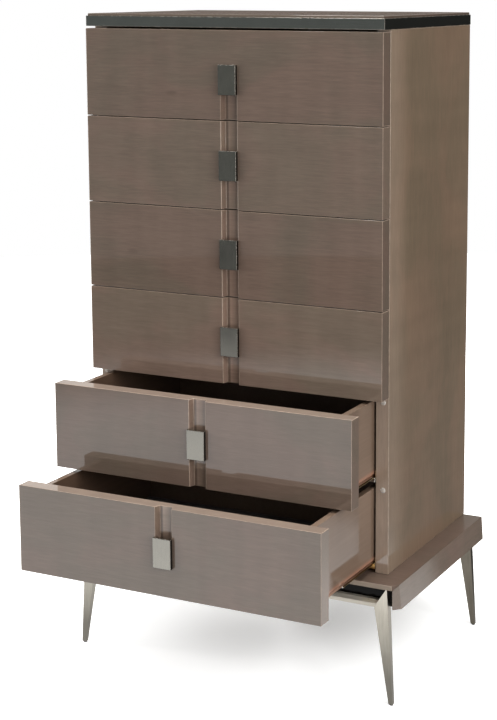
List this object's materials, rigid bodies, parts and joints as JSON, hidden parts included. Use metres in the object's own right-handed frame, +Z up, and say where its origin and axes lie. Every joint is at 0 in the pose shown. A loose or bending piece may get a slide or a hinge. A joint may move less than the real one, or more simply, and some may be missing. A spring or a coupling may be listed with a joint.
{
  "type": "tall chest of drawers",
  "caption": "Tall lacquered-wood chest of full-width drawers with plate handles over a central groove, on a projecting base with splayed metal legs.",
  "frame": {"origin": "on the floor, in the middle of the space taken with the drawers as stored", "axes": "+Z up, the drawers open towards -Y, +X to the right of someone facing the front"},
  "size_m": [0.864, 0.83, 1.5385],
  "materials": {
    "veneer": "high-gloss clear lacquer over straight-grained veneer",
    "drawer_veneer": "high-gloss clear lacquer over straight-grained veneer",
    "drawer_box_wood": "satin lacquer",
    "drawer_lining": "matt, nearly black lining",
    "dark_gloss": "black high-gloss lacquer",
    "satin_nickel": "satin nickel",
    "dark_nickel": "dark polished nickel",
    "zinc": "bright zinc plate",
    "clear_pad": "clear elastomer",
    "glide_plastic": "moulded nylon"
  },
  "bodies": {
    "carcass": {"side_panel_left": "veneer", "side_panel_right": "veneer", "top_panel": "veneer", "top_band": "dark_nickel", "back_panel": "drawer_box_wood", "cabinet_slides": "zinc", "bumper_pads": "clear_pad", "base_board": "veneer", "base_side_left": "veneer", "base_side_right": "veneer", "base_front_apron": "dark_gloss", "base_rear_apron": "dark_gloss", "leg_front_left": "satin_nickel", "leg_front_right": "satin_nickel", "leg_rear_left": "satin_nickel", "leg_rear_right": "satin_nickel", "leg_rails": "satin_nickel", "leg_glides": "glide_plastic"},
    "drawer_1": {"drawer_1_front": "drawer_veneer", "drawer_1_sides": "drawer_box_wood", "drawer_1_back": "drawer_box_wood", "drawer_1_bottom": "drawer_lining", "drawer_1_handle": "satin_nickel", "drawer_1_slides": "zinc"},
    "drawer_1_middle_slides": {"drawer_1_middle_slides": "zinc"},
    "drawer_2": {"drawer_2_front": "drawer_veneer", "drawer_2_sides": "drawer_box_wood", "drawer_2_back": "drawer_box_wood", "drawer_2_bottom": "drawer_lining", "drawer_2_handle": "satin_nickel", "drawer_2_slides": "zinc"},
    "drawer_2_middle_slides": {"drawer_2_middle_slides": "zinc"},
    "drawer_3": {"drawer_3_front": "drawer_veneer", "drawer_3_sides": "drawer_box_wood", "drawer_3_back": "drawer_box_wood", "drawer_3_bottom": "drawer_lining", "drawer_3_handle": "satin_nickel", "drawer_3_slides": "zinc"},
    "drawer_3_middle_slides": {"drawer_3_middle_slides": "zinc"},
    "drawer_4": {"drawer_4_front": "drawer_veneer", "drawer_4_sides": "drawer_box_wood", "drawer_4_back": "drawer_box_wood", "drawer_4_bottom": "drawer_lining", "drawer_4_handle": "satin_nickel", "drawer_4_slides": "zinc"},
    "drawer_4_middle_slides": {"drawer_4_middle_slides": "zinc"},
    "drawer_5": {"drawer_5_front": "drawer_veneer", "drawer_5_sides": "drawer_box_wood", "drawer_5_back": "drawer_box_wood", "drawer_5_bottom": "drawer_lining", "drawer_5_handle": "satin_nickel", "drawer_5_slides": "zinc"},
    "drawer_5_middle_slides": {"drawer_5_middle_slides": "zinc"},
    "drawer_6": {"drawer_6_front": "drawer_veneer", "drawer_6_sides": "drawer_box_wood", "drawer_6_back": "drawer_box_wood", "drawer_6_bottom": "drawer_lining", "drawer_6_handle": "satin_nickel", "drawer_6_slides": "zinc"},
    "drawer_6_middle_slides": {"drawer_6_middle_slides": "zinc"}
  },
  "joints": [
    {"name": "drawer_1_slide", "type": "slide", "parent": "carcass", "child": "drawer_1", "axis": [0, -1, 0], "range_m": [0, 0.43]},
    {"name": "drawer_1_middle_travel", "type": "slide", "parent": "carcass", "child": "drawer_1_middle_slides", "axis": [0, -1, 0], "range_m": [0, 0.215]},
    {"name": "drawer_2_slide", "type": "slide", "parent": "carcass", "child": "drawer_2", "axis": [0, -1, 0], "range_m": [0, 0.43]},
    {"name": "drawer_2_middle_travel", "type": "slide", "parent": "carcass", "child": "drawer_2_middle_slides", "axis": [0, -1, 0], "range_m": [0, 0.215]},
    {"name": "drawer_3_slide", "type": "slide", "parent": "carcass", "child": "drawer_3", "axis": [0, -1, 0], "range_m": [0, 0.43]},
    {"name": "drawer_3_middle_travel", "type": "slide", "parent": "carcass", "child": "drawer_3_middle_slides", "axis": [0, -1, 0], "range_m": [0, 0.215]},
    {"name": "drawer_4_slide", "type": "slide", "parent": "carcass", "child": "drawer_4", "axis": [0, -1, 0], "range_m": [0, 0.43]},
    {"name": "drawer_4_middle_travel", "type": "slide", "parent": "carcass", "child": "drawer_4_middle_slides", "axis": [0, -1, 0], "range_m": [0, 0.215]},
    {"name": "drawer_5_slide", "type": "slide", "parent": "carcass", "child": "drawer_5", "axis": [0, -1, 0], "range_m": [-0.157, 0.273]},
    {"name": "drawer_5_middle_travel", "type": "slide", "parent": "carcass", "child": "drawer_5_middle_slides", "axis": [0, -1, 0], "range_m": [-0.0785, 0.1365]},
    {"name": "drawer_6_slide", "type": "slide", "parent": "carcass", "child": "drawer_6", "axis": [0, -1, 0], "range_m": [-0.305, 0.125]},
    {"name": "drawer_6_middle_travel", "type": "slide", "parent": "carcass", "child": "drawer_6_middle_slides", "axis": [0, -1, 0], "range_m": [-0.1525, 0.0625]}
  ],
  "couplings": [
    {"joint": "drawer_1_middle_travel", "follows": "drawer_1_slide", "ratio": 0.5},
    {"joint": "drawer_2_middle_travel", "follows": "drawer_2_slide", "ratio": 0.5},
    {"joint": "drawer_3_middle_travel", "follows": "drawer_3_slide", "ratio": 0.5},
    {"joint": "drawer_4_middle_travel", "follows": "drawer_4_slide", "ratio": 0.5},
    {"joint": "drawer_5_middle_travel", "follows": "drawer_5_slide", "ratio": 0.5},
    {"joint": "drawer_6_middle_travel", "follows": "drawer_6_slide", "ratio": 0.5}
  ]
}
